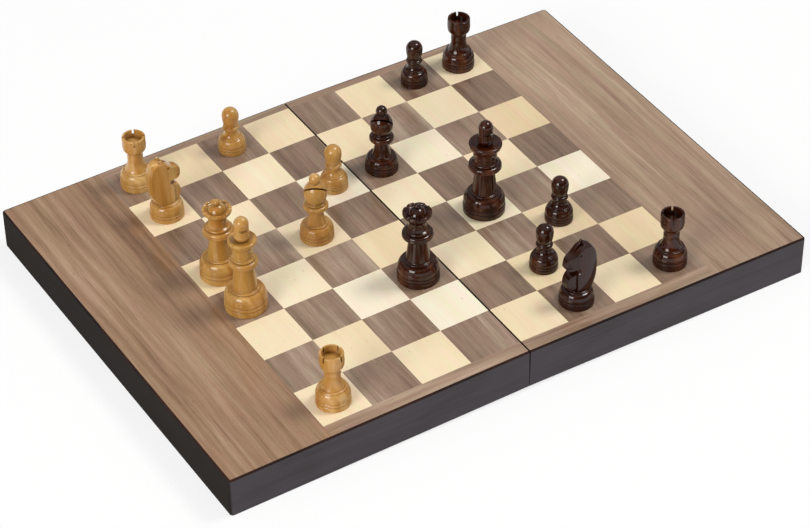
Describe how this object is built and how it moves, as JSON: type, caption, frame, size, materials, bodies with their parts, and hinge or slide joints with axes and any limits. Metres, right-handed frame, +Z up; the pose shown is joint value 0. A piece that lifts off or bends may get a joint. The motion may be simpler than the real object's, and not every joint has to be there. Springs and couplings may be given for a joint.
{
  "type": "chess and backgammon board",
  "caption": "Folding wooden game board: chess field outside, backgammon field inside two hinged trays, with turned chess pieces standing on it.",
  "frame": {"origin": "middle of the open board, on the table", "axes": "+X along the open board, from the light side to the dark side, +Y from front to back, +Z up"},
  "size_m": [0.3834, 0.2726, 0.0909],
  "materials": {
    "lacquer": "dark satin lacquer",
    "walnut": "satin veneer",
    "walnut_square": "satin veneer",
    "maple": "satin veneer",
    "field_veneer": "satin veneer",
    "boxwood": "gloss lacquer",
    "stained_wood": "gloss lacquer",
    "brass": "polished",
    "magnet": "nickel plate"
  },
  "bodies": {
    "left_half": {"back_hinge_pin": "brass", "front_hinge_pin": "brass", "left_back_hinge_leaf": "brass", "left_back_strip": "walnut", "left_back_wall": "lacquer", "left_dark_points": "walnut_square", "left_dark_squares": "walnut_square", "left_end_border": "walnut", "left_end_wall": "lacquer", "left_field_lining": "field_veneer", "left_front_hinge_leaf": "brass", "left_front_strip": "walnut", "left_front_wall": "lacquer", "left_hinge_screws": "brass", "left_light_points": "maple", "left_light_squares": "maple", "left_magnets": "magnet", "left_seam_rail": "lacquer", "left_top_panel": "lacquer"},
    "right_half": {"right_back_hinge_leaf": "brass", "right_back_strip": "walnut", "right_back_wall": "lacquer", "right_dark_points": "walnut_square", "right_dark_squares": "walnut_square", "right_end_border": "walnut", "right_end_wall": "lacquer", "right_field_lining": "field_veneer", "right_front_hinge_leaf": "brass", "right_front_strip": "walnut", "right_front_wall": "lacquer", "right_hinge_screws": "brass", "right_light_points": "maple", "right_light_squares": "maple", "right_magnets": "magnet", "right_seam_rail": "lacquer", "right_top_panel": "lacquer"},
    "dark_bishop": {"dark_bishop": "stained_wood"},
    "dark_king": {"dark_king": "stained_wood"},
    "dark_knight": {"dark_knight": "stained_wood"},
    "dark_pawn_back": {"dark_pawn_back": "stained_wood"},
    "dark_pawn_front": {"dark_pawn_front": "stained_wood"},
    "dark_pawn_middle": {"dark_pawn_middle": "stained_wood"},
    "dark_queen": {"dark_queen": "stained_wood"},
    "dark_rook_back": {"dark_rook_back": "stained_wood"},
    "dark_rook_front": {"dark_rook_front": "stained_wood"},
    "light_bishop": {"light_bishop": "boxwood"},
    "light_king": {"light_king": "boxwood"},
    "light_knight": {"light_knight": "boxwood"},
    "light_pawn_left": {"light_pawn_left": "boxwood"},
    "light_pawn_right": {"light_pawn_right": "boxwood"},
    "light_queen": {"light_queen": "boxwood"},
    "light_rook_back": {"light_rook_back": "boxwood"},
    "light_rook_front": {"light_rook_front": "boxwood"}
  },
  "joints": [
    {"name": "board_fold", "type": "hinge", "parent": "left_half", "child": "right_half", "pos_m": [0, 0, 0.002], "axis": [0, 1, 0], "range_deg": [-1.29, 178.71]},
    {"name": "dark_bishop_lift", "type": "slide", "parent": "right_half", "child": "dark_bishop", "axis": [0.0112, 0, 0.9999], "range_m": [0, 0.1]},
    {"name": "dark_king_lift", "type": "slide", "parent": "right_half", "child": "dark_king", "axis": [0.0112, 0, 0.9999], "range_m": [0, 0.1]},
    {"name": "dark_knight_lift", "type": "slide", "parent": "right_half", "child": "dark_knight", "axis": [0.0112, 0, 0.9999], "range_m": [0, 0.1]},
    {"name": "dark_pawn_back_lift", "type": "slide", "parent": "right_half", "child": "dark_pawn_back", "axis": [0.0112, 0, 0.9999], "range_m": [0, 0.1]},
    {"name": "dark_pawn_front_lift", "type": "slide", "parent": "right_half", "child": "dark_pawn_front", "axis": [0.0112, 0, 0.9999], "range_m": [0, 0.1]},
    {"name": "dark_pawn_middle_lift", "type": "slide", "parent": "right_half", "child": "dark_pawn_middle", "axis": [0.0112, 0, 0.9999], "range_m": [0, 0.1]},
    {"name": "dark_queen_lift", "type": "slide", "parent": "left_half", "child": "dark_queen", "axis": [-0.0112, 0, 0.9999], "range_m": [0, 0.1]},
    {"name": "dark_rook_back_lift", "type": "slide", "parent": "right_half", "child": "dark_rook_back", "axis": [0.0112, 0, 0.9999], "range_m": [0, 0.1]},
    {"name": "dark_rook_front_lift", "type": "slide", "parent": "right_half", "child": "dark_rook_front", "axis": [0.0112, 0, 0.9999], "range_m": [0, 0.1]},
    {"name": "light_bishop_lift", "type": "slide", "parent": "left_half", "child": "light_bishop", "axis": [-0.0112, 0, 0.9999], "range_m": [0, 0.1]},
    {"name": "light_king_lift", "type": "slide", "parent": "left_half", "child": "light_king", "axis": [-0.0112, 0, 0.9999], "range_m": [0, 0.1]},
    {"name": "light_knight_lift", "type": "slide", "parent": "left_half", "child": "light_knight", "axis": [-0.0112, 0, 0.9999], "range_m": [0, 0.1]},
    {"name": "light_pawn_left_lift", "type": "slide", "parent": "left_half", "child": "light_pawn_left", "axis": [-0.0112, 0, 0.9999], "range_m": [0, 0.1]},
    {"name": "light_pawn_right_lift", "type": "slide", "parent": "left_half", "child": "light_pawn_right", "axis": [-0.0112, 0, 0.9999], "range_m": [0, 0.1]},
    {"name": "light_queen_lift", "type": "slide", "parent": "left_half", "child": "light_queen", "axis": [-0.0112, 0, 0.9999], "range_m": [0, 0.1]},
    {"name": "light_rook_back_lift", "type": "slide", "parent": "left_half", "child": "light_rook_back", "axis": [-0.0112, 0, 0.9999], "range_m": [0, 0.1]},
    {"name": "light_rook_front_lift", "type": "slide", "parent": "left_half", "child": "light_rook_front", "axis": [-0.0112, 0, 0.9999], "range_m": [0, 0.1]}
  ]
}
